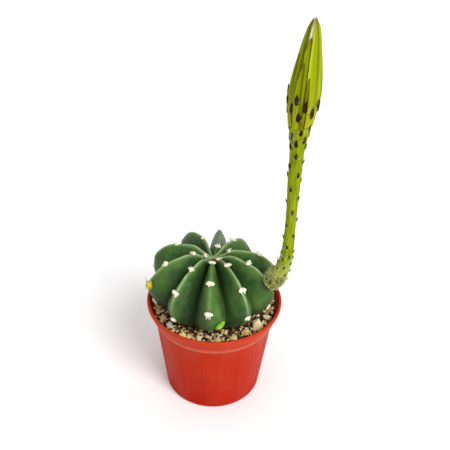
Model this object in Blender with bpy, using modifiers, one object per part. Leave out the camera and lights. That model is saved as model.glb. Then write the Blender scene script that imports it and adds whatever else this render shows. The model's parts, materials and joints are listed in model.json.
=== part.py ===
"""Potted round cactus with one tall flower bud.

A thin plastic nursery pot holds gritty soil. One ribbed cactus body grows in the soil, with a
long flower tube and its bud on one rib, a young bud on another and a small shoot at its foot.
Metres, +Z up, origin at the centre of the pot's underside; the flower leans out towards +X.
"""
import math
import random

import bmesh
import bpy
from mathutils import Vector

MM = 0.001

# Pot: a standard round nursery pot
RIM_RADIUS = 45.0 * MM
LIP = 2.0 * MM
POT_HEIGHT = 72.0 * MM
BAND_HEIGHT = 12.9 * MM
BAND_FOOT_RADIUS = 40.8 * MM
BAND_STEP = 0.8 * MM
BASE_RADIUS = 33.2 * MM
WALL = 1.2 * MM
FLOOR = 1.5 * MM
CORNER = 1.6 * MM
CORNER_BEVEL = CORNER * 0.35
LIP_FOOT = POT_HEIGHT - LIP * 1.3
LIP_SHOULDER = POT_HEIGHT - LIP * 0.35
LIP_BEVEL = LIP * 0.3
POT_STEPS = 40
DRAIN_HOLES = 6
DRAIN_RADIUS = 3.0 * MM
DRAIN_CIRCLE = 20.0 * MM
DRAIN_SIDES = 12
CUTTER_DEPTH = FLOOR * 4

# Clear gap that separate pieces keep from each other
GAP = 0.35 * MM

# Soil
SOIL_LEVEL = 64.6 * MM
SOIL_MOUND = 0.8 * MM
MOUND_SHARE = 0.8
BAND_SLOPE = 0.3
SOIL_STEPS = 40

# Socket that the soil leaves round the body's root end, in millimetres
SOCKET_MARGIN = 0.8
SOCKET_SWELL = 1.6
SOCKET_DROP = 1.3
SOCKET_FLAT = 0.6

# Cactus body: radius and height along a rib's crest and along the valley between two ribs,
# from the sunken top down to the root end
BODY_AXIS = Vector((-1.5, 1.0, 0.0)) * MM
CREST = (
    (0.0, 103.2), (7.0, 106.6), (14.8, 109.2), (30.2, 105.0), (41.1, 95.0), (43.0, 86.2),
    (39.0, 76.4), (32.4, 69.8), (27.2, 65.0), (18.5, 58.6), (0.0, 55.8),
)
VALLEY = (
    (0.0, 103.2), (4.6, 101.0), (9.8, 98.8), (20.5, 94.2), (30.2, 87.2), (33.6, 80.0),
    (32.8, 73.8), (29.8, 69.2), (26.0, 65.0), (18.5, 58.6), (0.0, 55.8),
)
RIB_AZIMUTHS = (-91.6, -58.0, -24.0, 5.0, 53.0, 84.0, 119.0, 158.5, 198.4, 235.5)
RIB_REACH = (1.0, 1.0, 1.0, 1.0, 0.84, 1.0, 1.0, 1.0, 1.0, 1.0)

# One rib bends round, by these degrees, on its way from the shoulder radius to the widest one
BENT_RIB = 4
BENT_BY = 7.0
BEND_RADII = (30.0, 43.0)
RIB_SHARPNESS = 1.6
STEPS_PER_RIB = 8
BODY_RINGS = 17

# Flower: centre line and radius from the rib up to the foot of the bud, then the bud's own axis
TUBE_PATH = (
    (35.6, -15.4, 98.0, 5.0), (38.6, -15.3, 101.7, 5.3), (41.2, -14.8, 106.6, 4.7),
    (43.3, -13.8, 113.6, 4.0), (44.4, -12.7, 122.0, 3.5), (44.7, -11.4, 145.0, 3.2),
    (44.5, -10.4, 170.0, 3.8), (44.6, -9.8, 188.0, 4.1), (44.8, -9.4, 203.0, 5.9),
)
TUBE_STEPS = 32
TUBE_SIDES_HALF = 3
BUD_FOOT = Vector((44.8, -9.4, 203.0)) * MM
BUD_TIP = Vector((47.6, -6.9, 261.2)) * MM
BUD_OUTLINE = (6.2, 7.2, 8.1, 8.5, 7.9, 7.1, 6.1, 5.0, 3.6, 0.9)
PETAL_STEPS = 12
PETAL_TIP_RADIUS = 0.4 * MM
TEPAL_COUNT = 8
TEPAL_THICK = 0.7 * MM
TEPAL_START = 0.012
TEPAL_END = 0.97
BRACT_COUNT = 6
BRACT_LENGTH = 9.0 * MM
BRACT_THICK = 0.6 * MM
BRACT_START = 0.03
BRACT_STAGGER = 0.06
BRACT_HALF_ANGLE = 0.30

# Young growths: rib azimuth or flank azimuth, distance from the body's axis, height, half sizes
SIDE_BUD = (-157.0, 43.2, 92.6, (1.8, 1.8, 2.4))
BASAL_SHOOT = (-81.0, 41.9, 81.2, (3.0, 2.0, 2.8))

# Grit lying on the soil
STONE_COUNT = 22
STONE_CIRCLE = 37.2 * MM
STONE_HALF = (1.5, 2.3)
STONE_STRAY = 0.8 * MM
STONE_TURN = 0.04
STONE_JAG = 0.12
BIG_STONE_AT = (-38.3, 35.9)
BIG_STONE_HALF = 3.3
SEED = 17


def smooth_path(knots, count):
    """Return count points along a Catmull-Rom curve through the knots."""
    points = [Vector(knot) for knot in knots]
    first = points[0] * 2 - points[1]
    last = points[-1] * 2 - points[-2]
    points = [first] + points + [last]
    path = []
    for step in range(count):
        place = step * (len(knots) - 1) / (count - 1)
        span = min(int(place), len(knots) - 2)
        t = place - span
        before, start, end, after = points[span:span + 4]
        bend = before * 2 - start * 5 + end * 4 - after
        twist = start * 3 - before - end * 3 + after
        path.append(start + ((end - before) * t + bend * t * t + twist * t * t * t) * 0.5)
    return path


def make_material(name, colour, roughness):
    material = bpy.data.materials.new(name)
    material.use_nodes = True
    shader = material.node_tree.nodes["Principled BSDF"]
    shader.inputs["Base Color"].default_value = (*colour, 1.0)
    shader.inputs["Roughness"].default_value = roughness
    return material


def add_mesh(name, bm, material, collection, turn_outwards=True):
    mesh = bpy.data.meshes.new(name)
    if turn_outwards:
        bmesh.ops.recalc_face_normals(bm, faces=bm.faces)
    bm.to_mesh(mesh)
    bm.free()
    obj = bpy.data.objects.new(name, mesh)
    if material:
        mesh.materials.append(material)
    collection.objects.link(obj)
    return obj


def add_turned(name, outline, steps, material, collection):
    """Turn an open outline, given from its upper to its lower end on the axis."""
    bm = bmesh.new()
    corners = [bm.verts.new((radius, 0.0, height)) for radius, height in outline]
    for upper, lower in zip(corners, corners[1:]):
        bm.edges.new((upper, lower))
    obj = add_mesh(name, bm, material, collection, turn_outwards=False)
    screw = obj.modifiers.new("Turn", 'SCREW')
    screw.axis = 'Z'
    screw.steps = steps
    screw.render_steps = steps
    screw.use_merge_vertices = True
    screw.merge_threshold = 0.00001
    return obj


def add_shell(name, point_at, columns, rows, thickness, material, collection):
    """Grid of points (across -1..1, along 0..1) thickened outwards into one closed piece."""
    bm = bmesh.new()
    grid = []
    for row in range(rows + 1):
        line = []
        for column in range(columns + 1):
            line.append(bm.verts.new(point_at(column * 2 / columns - 1, row / rows)))
        grid.append(line)
    for near, far in zip(grid, grid[1:]):
        for column in range(columns):
            bm.faces.new((near[column], near[column + 1], far[column + 1], far[column]))
    obj = add_mesh(name, bm, material, collection, turn_outwards=False)
    thicken = obj.modifiers.new("Thickness", 'SOLIDIFY')
    thicken.thickness = thickness
    thicken.offset = 1.0


def add_tube(name, path, half_sides, material, collection):
    """Solid stalk along a path of (x, y, z, radius)."""
    curve = bpy.data.curves.new(name, 'CURVE')
    curve.dimensions = '3D'
    curve.bevel_depth = 1.0
    curve.bevel_resolution = half_sides
    curve.use_fill_caps = True
    spline = curve.splines.new('POLY')
    spline.points.add(len(path) - 1)
    for point, (x, y, z, radius) in zip(spline.points, path):
        point.co = (x, y, z, 1.0)
        point.radius = radius
    curve.materials.append(material)
    collection.objects.link(bpy.data.objects.new(name, curve))


def wall_radius(height):
    """Outer radius of the tapered wall under the band."""
    top = POT_HEIGHT - BAND_HEIGHT
    rise = (height - CORNER) / (top - CORNER)
    return BASE_RADIUS + (BAND_FOOT_RADIUS - BAND_STEP - BASE_RADIUS) * rise


def build_pot(material, collection, cutters):
    band_foot = POT_HEIGHT - BAND_HEIGHT
    outline = [
        (0.0, FLOOR),
        (BASE_RADIUS - WALL - CORNER, FLOOR),
        (wall_radius(FLOOR + CORNER) - WALL, FLOOR + CORNER),
        (wall_radius(band_foot) - WALL, band_foot),
        (BAND_FOOT_RADIUS - WALL, band_foot + WALL),
        (RIM_RADIUS - LIP, LIP_FOOT),
        (RIM_RADIUS - LIP, LIP_SHOULDER),
        (RIM_RADIUS - LIP + LIP_BEVEL, POT_HEIGHT),
        (RIM_RADIUS - LIP_BEVEL, POT_HEIGHT),
        (RIM_RADIUS, LIP_SHOULDER),
        (RIM_RADIUS, LIP_FOOT),
        (BAND_FOOT_RADIUS, band_foot + BAND_STEP * 0.5),
        (BAND_FOOT_RADIUS - BAND_STEP, band_foot),
        (BASE_RADIUS, CORNER),
        (BASE_RADIUS - CORNER_BEVEL, CORNER_BEVEL),
        (BASE_RADIUS - CORNER, 0.0),
        (0.0, 0.0),
    ]
    pot = add_turned("pot", outline, POT_STEPS, material, collection)
    bm = bmesh.new()
    for index in range(DRAIN_HOLES):
        angle = math.tau * index / DRAIN_HOLES
        place = Vector((math.cos(angle), math.sin(angle), 0.0)) * DRAIN_CIRCLE
        made = bmesh.ops.create_cone(
            bm, cap_ends=True, segments=DRAIN_SIDES, radius1=DRAIN_RADIUS, radius2=DRAIN_RADIUS,
            depth=CUTTER_DEPTH,
        )
        bmesh.ops.translate(bm, verts=made["verts"], vec=place)
    cutter = add_mesh("drain_cutter", bm, None, cutters)
    cutter.hide_render = True
    cutter.display_type = 'WIRE'
    holes = pot.modifiers.new("Drain holes", 'BOOLEAN')
    holes.operation = 'DIFFERENCE'
    holes.solver = 'EXACT'
    holes.object = cutter


def build_soil(material, collection, cutters):
    """Filling of the pot, cut open where the body's root end sits in it."""
    inside = WALL + GAP
    band_foot = POT_HEIGHT - BAND_HEIGHT
    shoulder = BAND_FOOT_RADIUS - inside - GAP
    outline = [
        (0.0, SOIL_LEVEL + SOIL_MOUND),
        (shoulder * MOUND_SHARE, SOIL_LEVEL + SOIL_MOUND),
        (shoulder + (SOIL_LEVEL - band_foot - WALL) * BAND_SLOPE, SOIL_LEVEL),
        (shoulder, band_foot + WALL),
        (wall_radius(band_foot) - inside, band_foot),
        (wall_radius(FLOOR + CORNER) - inside, FLOOR + CORNER),
        (BASE_RADIUS - inside - CORNER, FLOOR + GAP),
        (0.0, FLOOR + GAP),
    ]
    soil = add_turned("soil", outline, SOIL_STEPS, material, collection)
    (top_radius, top_level), (neck_radius, neck_level), (end_radius, end_level) = CREST[-4:-1]
    bottom = CREST[-1][1]
    margin = SOCKET_MARGIN
    middle_radius = (neck_radius + end_radius) / 2
    middle_level = (neck_level + end_level) / 2
    socket_outline = [
        (0.0, top_level),
        (top_radius + margin, top_level),
        (neck_radius + margin, neck_level),
        (middle_radius + margin * SOCKET_SWELL, middle_level - margin),
        (end_radius + margin, end_level - margin * SOCKET_DROP),
        (end_radius / 2, bottom - margin * SOCKET_FLAT),
        (0.0, bottom - margin),
    ]
    socket_outline = [(radius * MM, height * MM) for radius, height in socket_outline]
    socket = add_turned("socket_cutter", socket_outline, SOIL_STEPS, None, cutters)
    socket.location = BODY_AXIS
    socket.hide_render = True
    socket.display_type = 'WIRE'
    cut = soil.modifiers.new("Socket", 'BOOLEAN')
    cut.operation = 'DIFFERENCE'
    cut.solver = 'EXACT'
    cut.object = socket


def rib_shape(turn):
    """Azimuth, rib height (1 on a crest, 0 in a valley) and rib at a turn counted in ribs."""
    count = len(RIB_AZIMUTHS)
    rib = round(turn)
    crest = RIB_AZIMUTHS[rib % count] + 360 * (rib // count)
    side = 1 if turn >= rib else -1
    beside = RIB_AZIMUTHS[(rib + side) % count] + 360 * ((rib + side) // count)
    away = abs(turn - rib)
    azimuth = math.radians(crest + (beside - crest) * away)
    return azimuth, 1 - (2 * away) ** RIB_SHARPNESS, rib % count


def build_body(material, collection):
    """A sphere whose rings follow the crest and valley outlines."""
    ribs = len(RIB_AZIMUTHS)
    bm = bmesh.new()
    bmesh.ops.create_uvsphere(bm, u_segments=ribs * STEPS_PER_RIB, v_segments=BODY_RINGS, radius=1.0)
    crest = smooth_path(CREST, BODY_RINGS + 1)
    valley = smooth_path(VALLEY, BODY_RINGS + 1)
    for vert in bm.verts:
        ring = round(math.acos(max(-1.0, min(1.0, vert.co.z))) / math.pi * BODY_RINGS)
        turn = round(math.atan2(vert.co.y, vert.co.x) / math.tau * ribs * STEPS_PER_RIB) / STEPS_PER_RIB
        azimuth, height, rib = rib_shape(turn % ribs)
        radius, level = valley[ring].lerp(crest[ring], RIB_REACH[rib] * height)
        if rib == BENT_RIB:
            bend = (radius - BEND_RADII[0]) / (BEND_RADII[1] - BEND_RADII[0])
            azimuth += math.radians(BENT_BY) * max(0.0, bend) * height
        place = Vector((radius * math.cos(azimuth), radius * math.sin(azimuth), level))
        vert.co = BODY_AXIS + place * MM
    add_mesh("cactus_body", bm, material, collection, turn_outwards=False)


def bud_radius(along):
    """Outer radius of the bud, along 0 at its foot to 1 at its tip."""
    place = along * (len(BUD_OUTLINE) - 1)
    index = min(int(place), len(BUD_OUTLINE) - 2)
    return (BUD_OUTLINE[index] + (BUD_OUTLINE[index + 1] - BUD_OUTLINE[index]) * (place - index)) * MM


def bud_point(along, angle, radius):
    return BUD_FOOT.lerp(BUD_TIP, along) + Vector((math.cos(angle), math.sin(angle), 0.0)) * radius


def build_flower(tube_material, tepal_material, petal_material, bract_material, collection):
    path = [point * MM for point in smooth_path(TUBE_PATH, TUBE_STEPS)]
    add_tube("flower_tube", path, TUBE_SIDES_HALF, tube_material, collection)

    core = []
    for step in range(PETAL_STEPS + 1):
        along = TEPAL_START + step / PETAL_STEPS * (TEPAL_END - TEPAL_START)
        centre = BUD_FOOT.lerp(BUD_TIP, along)
        radius = bud_radius(along) - TEPAL_THICK - GAP * 1.5
        core.append((*centre, max(radius, PETAL_TIP_RADIUS)))
    add_tube("inner_petals", core, TUBE_SIDES_HALF, petal_material, collection)

    for index in range(TEPAL_COUNT):
        middle = math.tau * index / TEPAL_COUNT

        def tepal_point(across, along):
            place = TEPAL_START + along * (TEPAL_END - TEPAL_START)
            radius = bud_radius(place) - TEPAL_THICK
            half = math.pi / TEPAL_COUNT - GAP * 0.6 / radius
            return bud_point(place, middle + across * half, radius)

        add_shell(f"tepal_{index + 1}", tepal_point, 3, 9, TEPAL_THICK, tepal_material, collection)

    for index in range(BRACT_COUNT):
        middle = math.tau * (index + 0.5) / BRACT_COUNT
        foot = BRACT_START + BRACT_STAGGER * (index % 2)

        def bract_point(across, along):
            place = foot + along * BRACT_LENGTH / (BUD_TIP - BUD_FOOT).length
            width = BRACT_HALF_ANGLE * math.sin(math.pi * (0.22 + 0.72 * along))
            return bud_point(place, middle + across * width, bud_radius(place) + GAP * 1.6)

        name = f"bud_bract_{index + 1}"
        add_shell(name, bract_point, 2, 5, BRACT_THICK, bract_material, collection)


def add_lump(name, centre, half, material, collection, roughness, rng):
    """Small solid: an icosphere, stretched, with its corners moved in and out."""
    bm = bmesh.new()
    bmesh.ops.create_icosphere(bm, subdivisions=2, radius=1.0)
    for vert in bm.verts:
        size = 1 + rng.uniform(-roughness, roughness)
        vert.co = centre + Vector((vert.co.x * half[0], vert.co.y * half[1], vert.co.z * half[2])) * size
    add_mesh(name, bm, material, collection)


def growth_place(azimuth, distance, height):
    angle = math.radians(azimuth)
    return BODY_AXIS + Vector((distance * math.cos(angle), distance * math.sin(angle), height)) * MM


def build_growths(bud_material, shoot_material, collection, rng):
    for name, spec, material in (
        ("side_bud", SIDE_BUD, bud_material),
        ("basal_shoot", BASAL_SHOOT, shoot_material),
    ):
        azimuth, distance, height, half = spec
        half = [size * MM for size in half]
        add_lump(name, growth_place(azimuth, distance, height), half, material, collection, 0.0, rng)


def build_stones(materials, collection, rng):
    for index in range(STONE_COUNT):
        angle = math.radians(BIG_STONE_AT[0]) + math.tau * index / STONE_COUNT
        angle += rng.uniform(-STONE_TURN, STONE_TURN)
        half = [rng.uniform(*STONE_HALF) * MM for axis in range(3)]
        distance = STONE_CIRCLE + rng.uniform(-STONE_STRAY, STONE_STRAY)
        name = f"stone_{index + 1:02d}"
        if index == 0:
            distance = BIG_STONE_AT[1] * MM
            half = [BIG_STONE_HALF * MM] * 3
        lift = SOIL_LEVEL + SOIL_MOUND + GAP + half[2] * (1 + STONE_JAG)
        centre = Vector((distance * math.cos(angle), distance * math.sin(angle), lift))
        add_lump(name, centre, half, materials[index % len(materials)], collection, STONE_JAG, rng)


def main():
    for obj in list(bpy.data.objects):
        bpy.data.objects.remove(obj, do_unlink=True)
    scene = bpy.context.scene
    parts = bpy.data.collections.new("potted_round_cactus")
    cutters = bpy.data.collections.new("cutters")
    scene.collection.children.link(parts)
    scene.collection.children.link(cutters)
    rng = random.Random(SEED)

    terracotta_plastic = make_material("pot_plastic", (0.55, 0.045, 0.012), 0.4)
    soil = make_material("soil", (0.03, 0.018, 0.01), 0.95)
    skin = make_material("cactus_skin", (0.025, 0.09, 0.03), 0.5)
    tube = make_material("flower_tube", (0.26, 0.34, 0.01), 0.55)
    tepal = make_material("outer_tepals", (0.22, 0.28, 0.01), 0.5)
    petal = make_material("inner_petals", (0.8, 0.78, 0.5), 0.6)
    bract = make_material("bracts", (0.06, 0.02, 0.008), 0.6)
    bud = make_material("side_bud", (0.5, 0.42, 0.06), 0.7)
    shoot = make_material("basal_shoot", (0.2, 0.46, 0.03), 0.5)
    pumice = make_material("pale_grit", (0.85, 0.72, 0.45), 0.85)
    tan_grit = make_material("tan_grit", (0.6, 0.42, 0.2), 0.85)

    build_pot(terracotta_plastic, parts, cutters)
    build_soil(soil, parts, cutters)
    build_body(skin, parts)
    build_flower(tube, tepal, petal, bract, parts)
    build_growths(bud, shoot, parts, rng)
    build_stones([pumice, pumice, tan_grit], parts, rng)


main()
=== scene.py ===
"""Potted round cactus in flower: the looks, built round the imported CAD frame.

Lengths in the outlines below are in millimetres and are turned into metres by MM.
"""
import json
import math
import random
from contextlib import contextmanager

import bmesh
import bpy
import numpy as np
from mathutils import Matrix, Vector, noise


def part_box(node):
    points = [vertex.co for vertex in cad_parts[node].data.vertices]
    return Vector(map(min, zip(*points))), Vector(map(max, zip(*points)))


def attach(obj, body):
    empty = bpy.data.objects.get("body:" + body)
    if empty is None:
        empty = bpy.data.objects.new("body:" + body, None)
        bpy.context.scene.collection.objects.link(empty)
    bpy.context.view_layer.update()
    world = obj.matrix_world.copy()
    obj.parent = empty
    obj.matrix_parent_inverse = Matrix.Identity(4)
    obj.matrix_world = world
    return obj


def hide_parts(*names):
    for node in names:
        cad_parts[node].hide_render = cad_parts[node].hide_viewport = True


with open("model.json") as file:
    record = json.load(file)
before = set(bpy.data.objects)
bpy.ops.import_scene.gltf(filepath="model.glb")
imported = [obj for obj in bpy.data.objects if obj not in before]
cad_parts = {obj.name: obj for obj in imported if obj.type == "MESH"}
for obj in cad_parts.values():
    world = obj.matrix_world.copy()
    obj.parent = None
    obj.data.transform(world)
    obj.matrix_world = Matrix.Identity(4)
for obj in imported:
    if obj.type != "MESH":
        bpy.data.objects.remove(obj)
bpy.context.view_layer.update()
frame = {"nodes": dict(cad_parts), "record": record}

MM = 0.001
SEED = 23
PATTERNS = 6

# The body: the same outlines as its CAD solid, from the sunken top down to the root end
BODY_AXIS = Vector((-1.5, 1.0, 0.0)) * MM
CREST = (
    (0.0, 103.2), (7.0, 106.6), (14.8, 109.2), (30.2, 105.0), (41.1, 95.0), (43.0, 86.2),
    (39.0, 76.4), (32.4, 69.8), (27.2, 65.0), (18.5, 58.6), (0.0, 55.8),
)
VALLEY = (
    (0.0, 103.2), (4.6, 101.0), (9.8, 98.8), (20.5, 94.2), (30.2, 87.2), (33.6, 80.0),
    (32.8, 73.8), (29.8, 69.2), (26.0, 65.0), (18.5, 58.6), (0.0, 55.8),
)
RIB_AZIMUTHS = (-91.6, -58.0, -24.0, 5.0, 53.0, 84.0, 119.0, 158.5, 198.4, 235.5)
RIB_COUNT = len(RIB_AZIMUTHS)
SOIL_KNOT = 8
PATH_STEPS = 800

# How far each rib stands out, how round its crest is (1 is sharp) and how narrow it is (1 is usual)
RIB_REACH = (1.0, 1.0, 1.0, 1.0, 0.84, 1.0, 1.0, 1.0, 1.0, 1.0)
RIB_ROUNDNESS = (1.5, 1.25, 1.25, 1.3, 1.15, 1.7, 1.35, 1.3, 1.25, 1.25)
RIB_SLIMNESS = (1.0, 1.0, 1.0, 1.0, 1.0, 1.4, 1.0, 1.0, 1.0, 1.0)

# One rib bends round, by these degrees, on its way from the shoulder radius to the widest one
BENT_RIB = 4
BENT_BY = 7.0
BEND_RADII = (30.0, 43.0)

# How far a rib leans round, in degrees, where it nears the sunken top
RIB_SWIRL = (0.0, 0.0, 0.0, 0.0, 0.0, -20.0, -6.0, 0.0, 0.0, 0.0)

# Wool pads down each rib, as shares of the way from the top to the soil
AREOLES = (
    (0.175, 0.37, 0.597),
    (0.10, 0.225, 0.455, 0.685),
    (0.31, 0.78),
    (0.135, 0.37, 0.62, 0.84),
    (0.27, 0.58, 0.80),
    (0.105, 0.66, 0.86),
    (0.195, 0.62, 0.82),
    (0.315, 0.70, 0.88),
    (0.065, 0.17, 0.395, 0.80),
    (0.29, 0.505, 0.755),
)

# The flower: centre line with radius, then the bud's axis
TUBE_PATH = (
    (34.4, -14.9, 96.6, 5.2), (38.2, -15.2, 101.2, 5.4), (41.2, -14.8, 106.6, 4.7),
    (43.3, -13.8, 113.6, 4.0), (44.4, -12.7, 122.0, 3.5), (44.7, -11.4, 145.0, 3.2),
    (44.5, -10.4, 170.0, 3.8), (44.6, -9.8, 188.0, 4.1), (44.8, -9.4, 203.0, 6.1),
)
BUD_FOOT = Vector((44.8, -9.4, 203.0)) * MM
BUD_TIP = Vector((47.6, -6.9, 261.2)) * MM
BUD_OUTLINE = (6.2, 7.2, 8.1, 8.5, 7.9, 7.1, 6.1, 5.0, 3.6, 0.9)


# ---------------------------------------------------------------- small tools

def clear_selection():
    if bpy.context.object and bpy.context.object.mode != 'OBJECT':
        bpy.ops.object.mode_set(mode='OBJECT')
    bpy.ops.object.select_all(action='DESELECT')


def work_on(obj):
    clear_selection()
    bpy.context.view_layer.objects.active = obj
    obj.select_set(True)


def take_new(name):
    obj = bpy.context.object
    obj.name = name
    obj.data.name = name
    return obj


def settle(obj):
    """Put the object's place into its mesh."""
    work_on(obj)
    bpy.ops.object.transform_apply(location=True, rotation=True, scale=True)


def apply_modifiers(obj):
    work_on(obj)
    for modifier in list(obj.modifiers):
        bpy.ops.object.modifier_apply(modifier=modifier.name)


def limited(value, low=0.0):
    """A value held between low and 1."""
    return max(low, min(1.0, value))


def any_direction(draw):
    """A random direction, not yet of unit length."""
    return Vector([draw.uniform(-1, 1) for axis in range(3)])


@contextmanager
def editing(obj, mode='VERT'):
    """Edit a mesh with all of it selected at the start."""
    work_on(obj)
    bpy.ops.object.mode_set(mode='EDIT')
    bpy.ops.mesh.select_mode(type=mode)
    bpy.ops.mesh.select_all(action='SELECT')
    yield
    bpy.ops.object.mode_set(mode='OBJECT')


def face_outwards(obj):
    with editing(obj):
        bpy.ops.mesh.normals_make_consistent(inside=False)


def smooth(obj, angle=None):
    work_on(obj)
    if angle is None:
        bpy.ops.object.shade_smooth()
    else:
        bpy.ops.object.shade_smooth_by_angle(angle=math.radians(angle))


def finish(obj, material, slot, *nodes):
    """Give a piece its material and body, and hide the CAD nodes that it stands for; slot is not used.
    """
    obj.data.materials.clear()
    obj.data.materials.append(material)
    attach(obj, "root")
    if nodes:
        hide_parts(*nodes)


def smooth_path(knots, count):
    """Return count points along a Catmull-Rom curve through the knots."""
    points = [Vector(knot) for knot in knots]
    first = points[0] * 2 - points[1]
    last = points[-1] * 2 - points[-2]
    points = [first] + points + [last]
    path = []
    for step in range(count):
        place = step * (len(knots) - 1) / (count - 1)
        span = min(int(place), len(knots) - 2)
        t = place - span
        before, start, end, after = points[span:span + 4]
        bend = before * 2 - start * 5 + end * 4 - after
        twist = start * 3 - before - end * 3 + after
        path.append(start + ((end - before) * t + bend * t * t + twist * t * t * t) * 0.5)
    return path


def set_attribute(obj, name, values):
    """Keep one number per corner point on the mesh, for the material to read."""
    layer = obj.data.attributes.new(name, 'FLOAT', 'POINT')
    layer.data.foreach_set("value", np.asarray(values, dtype=np.float32))


def turned(name, outline, sides):
    """A turned piece: a ring extruded and resized along its outline in millimetres, then closed."""
    clear_selection()
    radius, level = outline[0]
    bpy.ops.mesh.primitive_circle_add(vertices=sides, radius=radius * MM, location=(0, 0, level * MM))
    obj = take_new(name)
    settle(obj)
    with editing(obj):
        for next_radius, next_level in outline[1:]:
            rise = (0, 0, (next_level - level) * MM)
            bpy.ops.mesh.extrude_region_move(TRANSFORM_OT_translate={"value": rise})
            share = next_radius / radius
            centre = (0, 0, next_level * MM)
            bpy.ops.transform.resize(value=(share, share, 1), center_override=centre)
            radius, level = next_radius, next_level
    with editing(obj, 'EDGE'):
        bpy.ops.mesh.select_all(action='DESELECT')
        bpy.ops.mesh.select_non_manifold()
        bpy.ops.mesh.fill_holes(sides=0)
        bpy.ops.mesh.select_all(action='SELECT')
        bpy.ops.mesh.normals_make_consistent(inside=False)
    return obj


def scatter(name, patterns, places, tones=None):
    """Copy small pattern meshes to many places and join them into one piece.

    places is a list of (pattern index, 4x4 matrix); tones gives one number for each place.
    """
    corners, polygons, values = [], [], []
    offset = 0
    for order, (which, matrix) in enumerate(places):
        points, faces = patterns[which]
        turn = np.array(matrix.to_3x3())
        corners.append(points @ turn.T + np.array(matrix.translation))
        polygons.extend([[index + offset for index in face] for face in faces])
        offset += len(points)
        values.extend([tones[order] if tones else 0.5] * len(points))
    mesh = bpy.data.meshes.new(name)
    mesh.from_pydata(np.concatenate(corners).tolist(), [], polygons)
    obj = bpy.data.objects.new(name, mesh)
    bpy.context.scene.collection.objects.link(obj)
    set_attribute(obj, "tone", values)
    return obj


def as_pattern(obj):
    """Take a modelled shape's corners and faces, then remove the shape."""
    points = np.empty(len(obj.data.vertices) * 3)
    obj.data.vertices.foreach_get("co", points)
    faces = [tuple(polygon.vertices) for polygon in obj.data.polygons]
    bpy.data.objects.remove(obj, do_unlink=True)
    return points.reshape(-1, 3), faces


def frame_matrix(place, up, along, size=(1, 1, 1)):
    """Matrix with Z along up and X nearest to along."""
    z = up.normalized()
    x = (along - z * along.dot(z)).normalized()
    y = z.cross(x)
    rows = [[x[i] * size[0], y[i] * size[1], z[i] * size[2], place[i]] for i in range(3)]
    return Matrix(rows + [[0, 0, 0, 1]])


def cad_box(node):
    """Centre and half size of a CAD node's box."""
    low, high = [Vector(corner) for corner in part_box(node)]
    return (low + high) * 0.5, (high - low) * 0.5


def stretched(vector, sizes):
    return Vector([part * size for part, size in zip(vector, sizes)])


# ---------------------------------------------------------------- materials

class Finish:
    """A material with its shader, and short ways to add and join nodes."""

    def __init__(self, name, roughness, **constants):
        self.material = bpy.data.materials.new(name)
        self.material.use_nodes = True
        self.nodes = self.material.node_tree.nodes
        self.links = self.material.node_tree.links
        self.shader = self.nodes["Principled BSDF"]
        self.shader.inputs["Roughness"].default_value = roughness
        for socket, value in constants.items():
            self.shader.inputs[socket.replace("_", " ")].default_value = value

    def add(self, kind, **settings):
        node = self.nodes.new(kind)
        for key, value in settings.items():
            setattr(node, key, value)
        return node

    def join(self, source, target):
        self.links.new(source, target)

    def attribute(self, name):
        return self.add('ShaderNodeAttribute', attribute_name=name).outputs["Fac"]

    def pattern(self, group, **values):
        """Place one of the shared effects; returns its Value output."""
        node = self.add('ShaderNodeGroup', node_tree=group)
        for key, value in values.items():
            node.inputs[key].default_value = value
        return node.outputs["Value"]

    def ramp(self, source, *stops):
        """Colours along a value: stops are (place, (r, g, b))."""
        node = self.add('ShaderNodeValToRGB')
        elements = node.color_ramp.elements
        while len(elements) < len(stops):
            elements.new(0.5)
        for element, (place, colour) in zip(elements, stops):
            element.position = place
            element.color = (*colour, 1.0)
        self.join(source, node.inputs["Fac"])
        return node.outputs["Color"]

    def mix(self, share, first, second, blend='MIX'):
        """Mix two colours, each a socket or an (r, g, b)."""
        node = self.add('ShaderNodeMix', data_type='RGBA', blend_type=blend)
        factor, first_in, second_in = node.inputs[0], node.inputs[6], node.inputs[7]
        for target, value in ((factor, share), (first_in, first), (second_in, second)):
            if isinstance(value, tuple):
                target.default_value = (*value, 1.0)
            elif isinstance(value, (int, float)):
                target.default_value = value
            else:
                self.join(value, target)
        return node.outputs[2]

    def math(self, operation, first, second):
        node = self.add('ShaderNodeMath', operation=operation, use_clamp=True)
        for target, value in zip(node.inputs, (first, second)):
            if isinstance(value, (int, float)):
                target.default_value = value
            else:
                self.join(value, target)
        return node.outputs[0]

    def span(self, source, low, high, to_low=0.0, to_high=1.0):
        """Stretch a value from low..high to to_low..to_high."""
        node = self.add('ShaderNodeMapRange')
        node.inputs["From Min"].default_value = low
        node.inputs["From Max"].default_value = high
        node.inputs["To Min"].default_value = to_low
        node.inputs["To Max"].default_value = to_high
        self.join(source, node.inputs["Value"])
        return node.outputs["Result"]

    def colour(self, socket):
        self.join(socket, self.shader.inputs["Base Color"])

    def roughness(self, socket):
        self.join(socket, self.shader.inputs["Roughness"])

    def bump(self, *heights):
        """Raise the surface by (value, depth in millimetres) pairs, one over the other."""
        below = None
        for value, depth in heights:
            node = self.add('ShaderNodeBump')
            node.inputs["Strength"].default_value = 1.0
            node.inputs["Distance"].default_value = depth * MM
            self.join(value, node.inputs["Height"])
            if below:
                self.join(below, node.inputs["Normal"])
            below = node.outputs["Normal"]
        self.join(below, self.shader.inputs["Normal"])


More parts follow.
